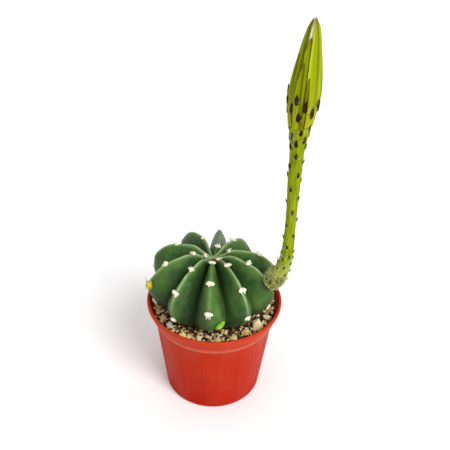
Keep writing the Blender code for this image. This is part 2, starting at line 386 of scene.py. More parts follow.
def make_group(name, defaults, build):
    """A shared effect: number inputs, one Value output that changes over the surface."""
    group = bpy.data.node_groups.new(name, 'ShaderNodeTree')
    for key, value in defaults.items():
        socket = group.interface.new_socket(key, in_out='INPUT', socket_type='NodeSocketFloat')
        socket.default_value = value
    group.interface.new_socket("Value", in_out='OUTPUT', socket_type='NodeSocketFloat')
    inputs = group.nodes.new('NodeGroupInput')
    outputs = group.nodes.new('NodeGroupOutput')
    place = group.nodes.new('ShaderNodeTexCoord')
    result = build(group, inputs, place.outputs["Object"])
    group.links.new(result, outputs.inputs["Value"])
    return group


def build_mottle(group, inputs, place):
    texture = group.nodes.new('ShaderNodeTexNoise')
    texture.inputs["Detail"].default_value = 5.0
    group.links.new(place, texture.inputs["Vector"])
    group.links.new(inputs.outputs["Scale"], texture.inputs["Scale"])
    group.links.new(inputs.outputs["Roughness"], texture.inputs["Roughness"])
    stretch = group.nodes.new('ShaderNodeMapRange')
    stretch.inputs["From Min"].default_value = 0.3
    stretch.inputs["From Max"].default_value = 0.7
    group.links.new(texture.outputs["Fac"], stretch.inputs["Value"])
    return stretch.outputs["Result"]


def build_cells(group, inputs, place):
    texture = group.nodes.new('ShaderNodeTexVoronoi')
    group.links.new(place, texture.inputs["Vector"])
    group.links.new(inputs.outputs["Scale"], texture.inputs["Scale"])
    return texture.outputs["Distance"]


def build_streaks(group, inputs, place):
    """Noise drawn out along the upright direction."""
    mapping = group.nodes.new('ShaderNodeMapping')
    mapping.inputs["Scale"].default_value = (1.0, 1.0, 0.08)
    group.links.new(place, mapping.inputs["Vector"])
    texture = group.nodes.new('ShaderNodeTexNoise')
    texture.inputs["Detail"].default_value = 3.0
    group.links.new(mapping.outputs["Vector"], texture.inputs["Vector"])
    group.links.new(inputs.outputs["Scale"], texture.inputs["Scale"])
    return texture.outputs["Fac"]


MOTTLE = make_group("mottle", {"Scale": 200.0, "Roughness": 0.6}, build_mottle)
CELLS = make_group("fine_cells", {"Scale": 900.0}, build_cells)
STREAKS = make_group("upright_streaks", {"Scale": 900.0}, build_streaks)


def pot_plastic():
    f = Finish("terracotta_plastic", 0.45, Specular_IOR_Level=0.045)
    cloud = f.pattern(MOTTLE, Scale=45.0)
    streak = f.pattern(STREAKS, Scale=500.0)
    # Painted light in the height ramp: the wall is painted darker towards its foot as shade, and the
    # pale stop at 0.84 is a painted highlight along the foot of the rim band; the cloud then pales it in
    # blotches.
    base = f.ramp(
        f.attribute("height"), (0.0, (0.38, 0.010, 0.001)), (0.80, (0.45, 0.023, 0.003)),
        (0.84, (0.56, 0.125, 0.060)), (0.89, (0.47, 0.032, 0.006)), (1.0, (0.50, 0.045, 0.013)),
    )
    dusty_with_painted_highlight = f.mix(f.span(cloud, 0.3, 1.0, 0.0, 0.20), base, (0.52, 0.075, 0.028))
    f.colour(f.mix(f.span(streak, 0.5, 0.75, 0.0, 0.2), dusty_with_painted_highlight, (0.36, 0.016, 0.004)))
    f.roughness(f.span(cloud, 0.0, 1.0, 0.34, 0.52))
    f.bump((f.pattern(MOTTLE, Scale=900.0), 0.03), (streak, 0.05))
    return f.material


def damp_soil():
    f = Finish("damp_soil", 0.92)
    crumb = f.pattern(MOTTLE, Scale=700.0)
    colour = f.ramp(
        crumb, (0.0, (0.006, 0.003, 0.002)), (0.5, (0.03, 0.014, 0.007)), (0.8, (0.10, 0.05, 0.022)),
        (1.0, (0.22, 0.12, 0.05)),
    )
    f.colour(colour)
    f.bump((crumb, 0.5), (f.pattern(CELLS, Scale=1400.0), 0.3))
    return f.material


def toned(name, roughness, stops, speck, depth):
    """Small pieces whose colour differs from one to the next."""
    f = Finish(name, roughness)
    base = f.ramp(f.attribute("tone"), *stops)
    grain = f.pattern(MOTTLE, Scale=1300.0, Roughness=0.7)
    f.colour(f.mix(f.span(grain, 0.2, 0.9, 0.0, speck), base, (0.18, 0.10, 0.04), 'MULTIPLY'))
    f.bump((grain, depth), (f.pattern(CELLS, Scale=2200.0), depth))
    return f.material


def cactus_skin():
    """Deep green, painted darker in the valleys and towards the foot as shade, with painted light
    patches, duller browner patches that are partly painted shade, and pale lines on the crests.
    """
    f = Finish("cactus_skin", 0.42, Specular_IOR_Level=0.14)
    crest = f.attribute("crest")
    low = f.attribute("low")
    broad = f.pattern(MOTTLE, Scale=60.0)
    blotch = f.pattern(MOTTLE, Scale=210.0, Roughness=0.65)
    fine = f.pattern(MOTTLE, Scale=850.0, Roughness=0.7)
    uneven = f.math('ADD', f.span(broad, 0.0, 1.0, 0.0, 0.32), f.span(blotch, 0.0, 1.0, 0.0, 0.18))
    # Painted shade: the green darkens from crest to valley by the crest attribute, where the valleys
    # fall in shade.
    shaded = f.math('ADD', f.span(crest, 0.0, 1.0, 0.0, 0.60), uneven)
    flank = f.ramp(
        shaded, (0.0, (0.009, 0.017, 0.007)), (0.25, (0.017, 0.041, 0.012)),
        (0.60, (0.027, 0.071, 0.018)), (1.0, (0.110, 0.225, 0.046)),
    )
    # Painted shade: the lower body is multiplied darker towards the soil.
    shade_below = f.mix(f.span(low, 0.05, 0.62, 0.0, 0.9), flank, (0.35, 0.34, 0.38), 'MULTIPLY')
    # Painted light: lit patches of the flanks are mixed in as a paler, brighter green.
    painted_light = f.mix(f.attribute("painted_light"), shade_below, (0.115, 0.26, 0.045))
    speckled = f.mix(f.span(fine, 0.4, 1.0, 0.0, 0.28), painted_light, (0.105, 0.19, 0.055))
    # Partly duller skin, partly painted shade: these patches darken flanks that face away from the
    # light.
    speckled = f.mix(f.attribute("dull_and_shaded"), speckled, (0.062, 0.075, 0.034))
    edge = f.math('MULTIPLY', f.attribute("line"), f.span(blotch, -0.1, 0.9, 0.45, 1.0))
    lined = f.mix(edge, speckled, (0.40, 0.54, 0.25))
    worn = f.math('MULTIPLY', f.span(low, 0.5, 1.0), f.span(crest, 0.25, 1.0))
    worn = f.math('MULTIPLY', worn, f.span(broad, 0.25, 0.85, 0.0, 0.8))
    f.colour(f.mix(worn, lined, (0.105, 0.105, 0.055)))
    f.roughness(f.span(broad, 0.0, 1.0, 0.36, 0.55))
    f.bump((f.pattern(MOTTLE, Scale=260.0), 0.12), (f.pattern(CELLS, Scale=2600.0), 0.04))
    return f.material


def tube_skin():
    f = Finish("tube_skin", 0.55, Specular_IOR_Level=0.03)
    along = f.attribute("along")
    broad = f.pattern(MOTTLE, Scale=110.0)
    streak = f.pattern(STREAKS, Scale=1500.0)
    base = f.ramp(
        along, (0.0, (0.50, 0.52, 0.20)), (0.2, (0.46, 0.50, 0.11)), (0.42, (0.24, 0.31, 0.005)),
        (0.9, (0.22, 0.27, 0.001)), (1.0, (0.33, 0.37, 0.006)),
    )
    shade = f.mix(f.span(broad, 0.2, 1.0, 0.0, 0.55), base, (0.13, 0.18, 0.001))
    dark_streak = f.mix(f.span(streak, 0.5, 0.28, 0.0, 0.6), shade, (0.09, 0.13, 0.001))
    f.colour(f.mix(f.span(streak, 0.5, 0.72, 0.0, 0.65), dark_streak, (0.38, 0.42, 0.02)))
    f.bump((streak, 0.12), (f.pattern(MOTTLE, Scale=1200.0), 0.05))
    return f.material


def tepal_skin():
    """Green, with one pale margin and a dark band of painted shade by the other, where the next tepal
    overlaps, yellower on the painted lit side, browner at the tip and by blush.
    """
    f = Finish("tepal_skin", 0.48, Specular_IOR_Level=0.03)
    across = f.attribute("across")
    along = f.attribute("along")
    broad = f.pattern(MOTTLE, Scale=90.0)
    streak = f.pattern(STREAKS, Scale=1800.0)
    # Painted shade: the dark band near one margin stands for the shadow of the overlapping tepal.
    body = f.ramp(
        across, (0.0, (0.56, 0.56, 0.10)), (0.10, (0.42, 0.46, 0.010)), (0.30, (0.25, 0.31, 0.001)),
        (0.52, (0.20, 0.26, 0.001)), (0.70, (0.115, 0.135, 0.001)), (0.84, (0.095, 0.100, 0.001)),
        (1.0, (0.24, 0.24, 0.004)),
    )
    lighter = f.mix(f.span(streak, 0.48, 0.72, 0.0, 0.45), body, (0.30, 0.37, 0.004))
    # Painted light: tepals facing the lit side of the bud are mixed towards yellow.
    lighter = f.mix(f.span(f.attribute("lit_side"), 0.0, 1.0, 0.0, 0.22), lighter, (0.36, 0.42, 0.006))
    lighter = f.mix(f.span(along, 0.05, 0.6, 0.6, 0.0), lighter, (0.38, 0.41, 0.010))
    brown = f.math('MULTIPLY', f.span(along, 0.86, 1.0), f.span(broad, 0.1, 0.8, 0.1, 0.7))
    side = f.math('MULTIPLY', f.attribute("blush"), f.span(broad, 0.2, 0.9, 0.5, 1.0))
    f.colour(f.mix(side, f.mix(brown, lighter, (0.10, 0.05, 0.003)), (0.075, 0.04, 0.002)))
    f.bump((streak, 0.12))
    return f.material


def petal_skin():
    f = Finish("inner_petal_skin", 0.55)
    streak = f.pattern(STREAKS, Scale=1400.0)
    f.colour(f.ramp(streak, (0.35, (0.84, 0.82, 0.30)), (0.65, (0.98, 0.96, 0.62))))
    f.bump((streak, 0.15))
    return f.material


def scale_skin():
    f = Finish("scale_skin", 0.7, Specular_IOR_Level=0.03)
    base = f.ramp(
        f.attribute("tone"), (0.0, (0.020, 0.009, 0.001)), (0.6, (0.050, 0.020, 0.002)),
        (0.78, (0.11, 0.05, 0.006)), (0.88, (0.26, 0.26, 0.03)), (1.0, (0.56, 0.60, 0.20)),
    )
    worn = f.span(f.pattern(MOTTLE, Scale=900.0), 0.5, 1.0, 0.0, 0.4)
    f.colour(f.mix(worn, base, (0.12, 0.06, 0.008)))
    f.bump((f.pattern(MOTTLE, Scale=1600.0), 0.08))
    return f.material


def wool(name, pale, shade):
    f = Finish(name, 0.9, Specular_IOR_Level=0.1)
    fibre = f.pattern(MOTTLE, Scale=2600.0, Roughness=0.75)
    base = f.mix(f.attribute("tone"), shade, pale)
    f.colour(f.mix(f.span(fibre, 0.0, 0.5, 0.45, 0.0), base, shade))
    f.bump((fibre, 0.25))
    return f.material


def shoot_skin():
    f = Finish("shoot_skin", 0.45)
    mottle = f.pattern(MOTTLE, Scale=420.0)
    f.colour(f.ramp(
        mottle, (0.1, (0.09, 0.25, 0.012)), (0.6, (0.17, 0.42, 0.02)), (1.0, (0.33, 0.58, 0.06)),
    ))
    f.bump((mottle, 0.12))
    return f.material


def studio_floor():
    f = Finish("studio_floor", 0.9)
    f.shader.inputs["Base Color"].default_value = (0.99, 0.99, 0.99, 1.0)
    return f.material


PALE_STONE = (
    (0.0, (0.70, 0.37, 0.09)), (0.3, (0.98, 0.68, 0.27)), (0.65, (1.0, 0.88, 0.50)),
    (1.0, (1.0, 0.98, 0.84)),
)
TAN_STONE = ((0.0, (0.58, 0.27, 0.06)), (0.5, (0.92, 0.58, 0.16)), (1.0, (1.0, 0.82, 0.38)))
BARK = (
    (0.0, (0.012, 0.006, 0.003)), (0.42, (0.05, 0.022, 0.009)), (0.7, (0.26, 0.12, 0.035)),
    (1.0, (0.78, 0.50, 0.17)),
)


# ---------------------------------------------------------------- camera and light

def add_camera():
    """At the front, looking down on the pot a little over 30 degrees, tipped under 2 degrees."""
    pitch = math.radians(33.72)
    roll = math.radians(1.78)
    distance = 0.400
    aim = Vector((5.57, 0.0, 129.64)) * MM
    forward = Vector((0.0, math.cos(pitch), -math.sin(pitch)))
    above = Vector((0.0, math.sin(pitch), math.cos(pitch)))
    side = Vector((1.0, 0.0, 0.0))
    right = side * math.cos(roll) + above * math.sin(roll)
    top = above * math.cos(roll) - side * math.sin(roll)
    data = bpy.data.cameras.new("camera")
    data.sensor_width = 36.0
    data.lens = 51.51
    data.clip_start = 0.01
    camera = bpy.data.objects.new("camera", data)
    axes = Matrix((right, top, -forward)).transposed().to_4x4()
    camera.matrix_world = Matrix.Translation(aim - forward * distance) @ axes
    bpy.context.scene.collection.objects.link(camera)
    bpy.context.scene.camera = camera


def aimed(direction):
    """Rotation of a lamp that shines along a direction."""
    return direction.to_track_quat('-Z', 'Y').to_euler()


def add_stage():
    """A wide pale floor in even white light, with a soft sun and one softbox."""
    clear_selection()
    bpy.ops.mesh.primitive_plane_add(size=40.0, location=(0, 0, 0))
    floor = take_new("floor")
    floor.data.materials.append(studio_floor())
    world = bpy.data.worlds.new("studio")
    bpy.context.scene.world = world
    world.use_nodes = True
    background = world.node_tree.nodes["Background"]
    background.inputs["Color"].default_value = (1.0, 1.0, 1.0, 1.0)
    background.inputs["Strength"].default_value = 0.72
    sun = bpy.data.lights.new("sun", 'SUN')
    sun.energy = 1.55
    sun.angle = math.radians(24)
    sun_lamp = bpy.data.objects.new("sun", sun)
    sun_lamp.rotation_euler = aimed(Vector((-0.55, 0.75, -1.0)))
    softbox = bpy.data.lights.new("side_softbox", 'AREA')
    softbox.shape = 'DISK'
    softbox.size = 0.3
    softbox.energy = 1.2
    softbox.color = (1.0, 0.98, 0.95)
    softbox_lamp = bpy.data.objects.new("side_softbox", softbox)
    softbox_lamp.location = (0.55, -0.45, 0.35)
    softbox_lamp.rotation_euler = aimed(Vector((0, 0, 0.09)) - softbox_lamp.location)
    for lamp in (sun_lamp, softbox_lamp):
        bpy.context.scene.collection.objects.link(lamp)
    bpy.context.scene.view_settings.view_transform = 'Standard'


# ---------------------------------------------------------------- pot

# Lengths in millimetres
POT_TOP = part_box("pot")[1][2] / MM
RIM = 45.0
BAND_FOOT = POT_TOP - 12.9
BAND_FOOT_RADIUS = 40.8
WALL_TOP_RADIUS = 40.0
WALL_FOOT = 1.6
BASE_RADIUS = 33.2
POT_WALL = 1.2
POT_FLOOR = 1.5

# Every second panel of the wall is pressed in a little
PANELS = 20
SIDES_PER_PANEL = 8
PANEL_TURN = 9.0
PANEL_FOOT = 3.4
PANEL_TOP = BAND_FOOT - 1.2
PANEL_EDGE = 0.45
PANEL_DEPTH = 0.28

DRAIN_HOLES = 6
DRAIN_RING = 20.0
DRAIN_RADIUS = 3.0


def wall_at(level):
    """Outer radius of the pot's wall at a height."""
    share = (level - WALL_FOOT) / (BAND_FOOT - WALL_FOOT)
    return BASE_RADIUS + (WALL_TOP_RADIUS - BASE_RADIUS) * share


def build_pot():
    corner = wall_at(3.0) - POT_WALL
    outline = [(0.4, POT_FLOOR), (20.0, POT_FLOOR), (corner - 1.5, POT_FLOOR), (corner, 3.0)]
    for share in (0.33, 0.66, 1.0):
        level = 3.0 + (BAND_FOOT - 3.0) * share
        outline.append((wall_at(level) - POT_WALL, level))
    outline += [
        (BAND_FOOT_RADIUS - POT_WALL, BAND_FOOT + 1.2), (RIM - 2.6, POT_TOP - 3.2),
        (RIM - 2.1, POT_TOP - 2.0),
    ]
    for step in range(9):
        angle = math.pi * (1 - step / 8)
        outline.append((RIM - 1.0 + math.cos(angle), POT_TOP - 1.0 + math.sin(angle)))
    outline += [
        (RIM - 0.05, POT_TOP - 2.2), (RIM - 0.55, POT_TOP - 2.9), (RIM - 1.1, POT_TOP - 4.2),
        (RIM - 2.3, POT_TOP - 8.0), (BAND_FOOT_RADIUS + 0.12, BAND_FOOT + 0.5),
        (BAND_FOOT_RADIUS - 0.15, BAND_FOOT + 0.1), (WALL_TOP_RADIUS + 0.12, BAND_FOOT - 0.1),
    ]
    for share in (1.0, 0.75, 0.5, 0.25, 0.0):
        level = PANEL_FOOT + (PANEL_TOP - PANEL_FOOT) * share
        outline.append((wall_at(level), level))
    for step in range(1, 7):
        angle = math.pi / 2 * step / 6
        outline.append((BASE_RADIUS - 1.9 + math.cos(angle) * 1.95, 2.0 - math.sin(angle) * 2.0))
    outline += [(26.0, 0.0), (14.0, 0.0), (0.4, 0.0)]
    pot = turned("nursery_pot", outline, PANELS * SIDES_PER_PANEL)

    with editing(pot, 'FACE'):
        bpy.ops.mesh.select_all(action='DESELECT')
        mesh = bmesh.from_edit_mesh(pot.data)
        for face in mesh.faces:
            middle = face.calc_center_median()
            outside = face.normal.x * middle.x + face.normal.y * middle.y > 0
            on_wall = PANEL_FOOT * MM < middle.z < PANEL_TOP * MM
            degrees = math.degrees(math.atan2(middle.y, middle.x)) + PANEL_TURN
            panel = int((degrees + 360) % 360 / (360 / PANELS))
            if outside and on_wall and panel % 2 == 0:
                face.select_set(True)
        bmesh.update_edit_mesh(pot.data)
        bpy.ops.mesh.inset(thickness=PANEL_EDGE * MM, depth=-PANEL_DEPTH * MM, use_boundary=True)

    clear_selection()
    cutters = []
    for index in range(DRAIN_HOLES):
        angle = math.tau * index / DRAIN_HOLES
        place = (math.cos(angle) * DRAIN_RING * MM, math.sin(angle) * DRAIN_RING * MM, 0.0)
        bpy.ops.mesh.primitive_cylinder_add(
            vertices=32, radius=DRAIN_RADIUS * MM, depth=6 * MM, location=place
        )
        cutters.append(bpy.context.object)
    for cutter in cutters:
        cutter.select_set(True)
    bpy.context.view_layer.objects.active = cutters[0]
    bpy.ops.object.join()
    drill = bpy.context.object
    cut = pot.modifiers.new("Drain holes", 'BOOLEAN')
    cut.operation = 'DIFFERENCE'
    cut.solver = 'EXACT'
    cut.object = drill
    apply_modifiers(pot)
    bpy.data.objects.remove(drill, do_unlink=True)
    smooth(pot, 32)
    set_attribute(pot, "height", [vert.co.z / MM / POT_TOP for vert in pot.data.vertices])
    finish(pot, pot_plastic(), "pot_plastic", "pot")


# ---------------------------------------------------------------- soil, grit and stones

SOIL_LEVEL = 65.3
GRIT_REACH = 41.4


def inner_wall(level):
    """Inside radius of the pot at a height above the band's foot."""
    foot = BAND_FOOT_RADIUS - POT_WALL
    share = (level - BAND_FOOT) / (POT_TOP - 3.2 - BAND_FOOT)
    return foot + (RIM - 2.6 - foot) * max(share, 0.0)


def soil_height(x, y):
    """Top of the soil in metres: a slight bank against the body and lumps of a few millimetres."""
    radius = math.hypot(x, y) / MM
    bank = 1.6 * max(0.0, 1 - (radius - 27) / 13)
    dip = -0.8 * max(0.0, (radius - 37) / 4)
    lumps = noise.noise(Vector((x, y, 0.0)) / (6 * MM)) * 0.7
    crumbs = noise.noise(Vector((x, y, 0.02)) / (1.9 * MM)) * 0.45
    return (SOIL_LEVEL + bank + dip + lumps + crumbs) * MM


def build_soil():
    wall = inner_wall(SOIL_LEVEL) - 0.1
    floor = POT_FLOOR + 0.1
    outline = [
        (0.4, floor), (wall_at(3.0) - POT_WALL - 1.0, floor), (wall_at(4.0) - POT_WALL - 0.15, 4.0),
        (wall_at(BAND_FOOT) - POT_WALL - 0.15, BAND_FOOT),
    ]
    rings = 22
    for ring in range(rings + 1):
        outline.append((wall - (wall - 21) * ring / rings, SOIL_LEVEL))
    outline.append((0.4, SOIL_LEVEL))
    soil = turned("potting_mix", outline, 240)
    for vert in soil.data.vertices:
        if vert.co.z > (SOIL_LEVEL - 0.5) * MM:
            vert.co.z = soil_height(vert.co.x, vert.co.y)
    smooth(soil)
    finish(soil, damp_soil(), "soil", "soil")


def rough_stone(name, subdivisions, jag, draw):
    """An angular pebble of about unit radius."""
    clear_selection()
    bpy.ops.mesh.primitive_ico_sphere_add(subdivisions=subdivisions, radius=1.0)
    obj = take_new(name)
    shift = any_direction(draw) * 9
    cuts = [any_direction(draw).normalized() for cut in range(7)]
    for vert in obj.data.vertices:
        away = vert.co.normalized()
        size = 1 + jag * noise.noise(away * 1.3 + shift) + jag * 0.5 * noise.noise(away * 3.4 + shift)
        point = away * size
        for cut in cuts:
            depth = point.dot(cut) - 0.66
            if depth > 0:
                point -= cut * depth * 0.94
        vert.co = point
    return obj


def stone_patterns(name, subdivisions, jag, seed):
    """A few different rough stones to copy from."""
    stones = []
    for index in range(PATTERNS):
        stone = rough_stone(f"{name}_{index}", subdivisions, jag, random.Random(seed + index))
        stones.append(as_pattern(stone))
    return stones


def random_turn(draw):
    axis = any_direction(draw).normalized()
    return Matrix.Rotation(draw.uniform(0, math.tau), 4, axis)


def build_stones(material_pale, material_tan):
    """Each CAD stone becomes an angular pebble that sits a little in the soil."""
    stones = sorted(name for name in frame["nodes"] if name.startswith("stone_"))
    slots = {part["node"]: part["material_slot"] for part in frame["record"]["subparts"]}
    for index, name in enumerate(stones):
        draw = random.Random(SEED + index * 7)
        centre, half = cad_box(name)
        centre.z = soil_height(centre.x, centre.y) + half.z * 0.55
        pebble = rough_stone(f"pumice_{index + 1:02d}", 4, 0.32, draw)
        turn = random_turn(draw)
        wide, tall = 1.35, 0.95
        if index == 0:
            # the upright wedge on the right
            turn = Matrix.Rotation(0.4, 4, 'Z')
            wide, tall = 1.0, 2.1
            for vert in pebble.data.vertices:
                taper = 1.15 - 0.7 * max(-0.4, vert.co.z)
                vert.co = stretched(vert.co, (taper, taper, 1))
        size = Matrix.Diagonal((half.x * wide, half.y * wide, half.z * tall, 1))
        pebble.matrix_world = Matrix.Translation(centre) @ size @ turn
        settle(pebble)
        smooth(pebble, 26)
        tone = draw.uniform(0.15, 1.0)
        set_attribute(pebble, "tone", [tone] * len(pebble.data.vertices))
        finish(pebble, material_tan if slots[name] == "tan_grit" else material_pale, slots[name], name)


def build_loose_grit(pale, crumbs_material):
    """Hundreds of small grains of pumice and crumbs of bark over the soil."""
    patterns = stone_patterns("grain", 2, 0.6, SEED * 3)
    draw = random.Random(SEED + 500)
    wall = inner_wall(SOIL_LEVEL)

    def lay(name, material, slot, count, sizes, inner, sink, flat):
        places, tones = [], []
        for index in range(count):
            angle = draw.uniform(0, math.tau)
            radius = math.sqrt(draw.uniform(inner ** 2, GRIT_REACH ** 2))
            size = draw.uniform(*sizes) * 0.5
            if radius + size > wall + 0.4:
                radius = wall - size
            x = radius * math.cos(angle) * MM
            y = radius * math.sin(angle) * MM
            size *= MM
            level = soil_height(x, y) + size * sink
            wide = size * draw.uniform(0.5, 1.5)
            stretch = Matrix.Diagonal((wide, size * draw.uniform(0.6, 1.2), size * flat, 1))
            which = draw.randrange(PATTERNS)
            places.append((which, Matrix.Translation((x, y, level)) @ random_turn(draw) @ stretch))
            tones.append(draw.random())
        piece = scatter(name, patterns, places, tones)
        smooth(piece, 24)
        finish(piece, material, slot)

    lay("pumice_grains", pale, "pale_grit", 640, (0.9, 2.7), 29.0, 0.35, 0.8)
    lay("bark_crumbs", crumbs_material, "soil", 1600, (0.7, 2.4), 25.0, 0.25, 0.6)


# ---------------------------------------------------------------- cactus body

CREST_PATH = smooth_path(CREST, PATH_STEPS + 1)
VALLEY_PATH = smooth_path(VALLEY, PATH_STEPS + 1)


def rib_shape(turn):
    """Azimuth, rib height (1 on a crest, 0 in a valley) and rib at a turn in ribs."""

    def crest_at(number):
        return RIB_AZIMUTHS[number % RIB_COUNT] + 360 * (number // RIB_COUNT)

    nearest = round(turn)
    rib = nearest % RIB_COUNT
    crest = crest_at(nearest)
    beside = crest_at(nearest + (1 if turn >= nearest else -1))
    away = abs(turn - nearest)
    height = 1 - min(1.0, 2 * away * RIB_SLIMNESS[rib]) ** RIB_ROUNDNESS[rib]
    return math.radians(crest + (beside - crest) * away), height, rib


def swirl(rib, radius):
    """Turn of a rib's crest near the sunken top or past its shoulder; radius in millimetres."""
    degrees = RIB_SWIRL[rib] * max(0.0, 1 - radius / 32.0)
    if rib == BENT_RIB:
        degrees += BENT_BY * max(0.0, (radius - BEND_RADII[0]) / (BEND_RADII[1] - BEND_RADII[0]))
    return math.radians(degrees)


def crest_lengths():
    """Distance along the crest to each point of its path, down to the soil."""
    last = SOIL_KNOT * (len(CREST_PATH) - 1) // (len(CREST) - 1)
    lengths = [0.0]
    for near, far in zip(CREST_PATH[:last], CREST_PATH[1:last + 1]):
        lengths.append(lengths[-1] + (far - near).length)
    return lengths


LENGTHS = crest_lengths()


def place_on_crest(share):
    """Index on the crest path at a share of its length from the top to the soil."""
    return int(np.searchsorted(LENGTHS, share * LENGTHS[-1]))


def rib_point(rib, index):
    """Point on a rib's crest, its outward normal and the direction down the crest."""
    reach = RIB_REACH[rib]

    def on_path(at):
        radius, level = VALLEY_PATH[at].lerp(CREST_PATH[at], reach)
        azimuth = math.radians(RIB_AZIMUTHS[rib]) + swirl(rib, radius)
        return Vector((radius * math.cos(azimuth), radius * math.sin(azimuth), level)) * MM

    place = on_path(index)
    down = (on_path(min(index + 6, PATH_STEPS)) - on_path(max(index - 6, 0))).normalized()
    side = Vector((0.0, 0.0, 1.0)).cross(place - on_path(0)).normalized()
    outward = side.cross(down).normalized()
    if outward.dot(place - Vector((0, 0, 80 * MM))) < 0:
        outward = -outward
    return BODY_AXIS + place, outward, down


# The pale line along the crests: its half width in millimetres, and its strength on each rib
CREST_LINE_WIDTH = 1.2
LINE_STRENGTH = (0.12, 0.9, 1.0, 1.0, 0.9, 0.3, 0.9, 1.0, 1.0, 0.95)

# Painted light, a paler green on flanks that face the lamps: place round the body in ribs, half width,
# height, half height, strength
PAINTED_LIGHT_PATCHES = (
    (0.27, 0.22, 84.0, 13.0, 0.95), (1.08, 0.10, 79.0, 8.0, 0.8), (1.66, 0.18, 86.0, 8.0, 0.6),
    (-0.02, 0.06, 99.0, 5.0, 0.6), (8.25, 0.22, 90.0, 8.0, 0.3), (5.0, 0.4, 101.0, 9.0, 0.6),
    (4.0, 0.4, 100.0, 9.0, 0.4), (9.04, 0.06, 82.0, 9.0, 0.35), (3.1, 0.25, 94.0, 8.0, 0.35),
    (7.3, 0.2, 90.0, 9.0, 0.35), (0.72, 0.1, 92.0, 8.0, 0.35), (8.75, 0.1, 84.0, 8.0, 0.3),
)

# Duller, browner skin, partly painted shade on flanks turned from the lamps, in the same terms
DULL_AND_SHADED_PATCHES = (
    (-0.16, 0.12, 84.0, 12.0, 0.75), (8.62, 0.12, 76.0, 8.0, 0.7), (7.7, 0.16, 78.0, 9.0, 0.6),
    (1.3, 0.12, 80.0, 9.0, 0.45), (3.4, 0.2, 84.0, 8.0, 0.5), (5.5, 0.2, 86.0, 9.0, 0.5),
)


def patches_at(patches, turn, level):
    """Summed strength of soft oval patches at a turn in ribs and a height in millimetres."""
    return sum(
        strength * math.exp(-((turn - middle) / wide) ** 2 - ((level - height) / tall) ** 2)
        for middle, wide, height, tall, strength in patches
    )


def build_body():
    """The ribbed body, dented at each wool pad and swollen below it."""
    clear_selection()
    bpy.ops.mesh.primitive_uv_sphere_add(segments=RIB_COUNT * 30, ring_count=140, radius=1.0)
    body = take_new("ribbed_body")
    notches = [[place_on_crest(share) / PATH_STEPS for share in shares] for shares in AREOLES]
    values = {name: [] for name in ("crest", "low", "painted_light", "dull_and_shaded", "line")}
    points = np.empty((len(body.data.vertices), 3))
    for index, vert in enumerate(body.data.vertices):
        along = math.acos(limited(vert.co.z, -1.0)) / math.pi
        turn = math.atan2(vert.co.y, vert.co.x) / math.tau * RIB_COUNT % RIB_COUNT
        if turn > RIB_COUNT - 0.5:
            turn -= RIB_COUNT
        azimuth, height, rib = rib_shape(turn)
        at = round(along * PATH_STEPS)
        crest = VALLEY_PATH[at].lerp(CREST_PATH[at], RIB_REACH[rib])
        radius, level = VALLEY_PATH[at].lerp(crest, height)
        swell = 0.0
        for notch in notches[rib]:
            swell -= math.exp(-((along - notch) / 0.012) ** 2) * 0.7
            swell += math.exp(-((along - notch - 0.035) / 0.022) ** 2) * 0.45
        radius += swell * max(height, 0.0) ** 5
        azimuth += swirl(rib, radius) * max(height, 0.0)
        place = Vector((radius * math.cos(azimuth), radius * math.sin(azimuth), level))
        ripple = noise.noise(place / 9.0) * 0.45 + noise.noise(place / 3.5) * 0.10
        outward = Vector((place.x, place.y, (place.z - 84) * 0.9)).normalized()
        points[index] = (BODY_AXIS / MM + place + outward * ripple * min(1.0, radius / 10)) * MM
        values["crest"].append(height)
        values["low"].append(limited((105 - level) / 38))
        strength = LINE_STRENGTH[rib] * (1 - 0.8 * limited((98 - level) / 12))
        aside = abs(turn - round(turn)) * math.tau / RIB_COUNT * radius
        values["line"].append(strength * max(0.0, 1 - aside / CREST_LINE_WIDTH))
        uneven = 0.8 + 0.5 * noise.noise(place / 5.0)
        # Painted light patches and dull patches that are partly painted shade
        for name, patches in (("painted_light", PAINTED_LIGHT_PATCHES), ("dull_and_shaded", DULL_AND_SHADED_PATCHES)):
            values[name].append(min(1.0, patches_at(patches, turn, level) * uneven))
    body.data.vertices.foreach_set("co", points.ravel())
    body.data.update()
    face_outwards(body)
    smooth(body)
    for name, numbers in values.items():
        set_attribute(body, name, numbers)
    finish(body, cactus_skin(), "cactus_skin", "cactus_body")


def hair_pattern(bend):
    """A thin three-sided hair along +Z, one unit long, bent towards +X."""
    clear_selection()
    bpy.ops.mesh.primitive_cone_add(
        vertices=3, radius1=1.0, radius2=0.12, depth=1.0, location=(0, 0, 0.5)
    )
    hair = take_new("hair")
    settle(hair)
    with editing(hair):
        for level in (0.35, 0.7):
            bpy.ops.mesh.select_all(action='SELECT')
            bpy.ops.mesh.bisect(plane_co=(0, 0, level), plane_no=(0, 0, 1))
    points, faces = as_pattern(hair)
    points[:, 0] += bend * points[:, 2] ** 2
    return points, faces


class Hairs:
    """A growing number of thin hairs that end up as one piece."""

    def __init__(self, draw):
        self.draw = draw
        self.places = []
        self.tones = []

    def add(self, start, direction, length, thickness, *tone):
        """Length and thickness are in millimetres; tone is one number or the ends of a range."""
        size = (thickness * MM, thickness * MM, length * MM)
        self.places.append((0, frame_matrix(start, direction, any_direction(self.draw), size)))
        self.tones.append(self.draw.uniform(*tone) if len(tone) == 2 else tone[0])

    def join(self, name, bend, material, slot, rounded=False):
        piece = scatter(name, [hair_pattern(bend)], self.places, self.tones)
        if rounded:
            smooth(piece)
        finish(piece, material, slot)


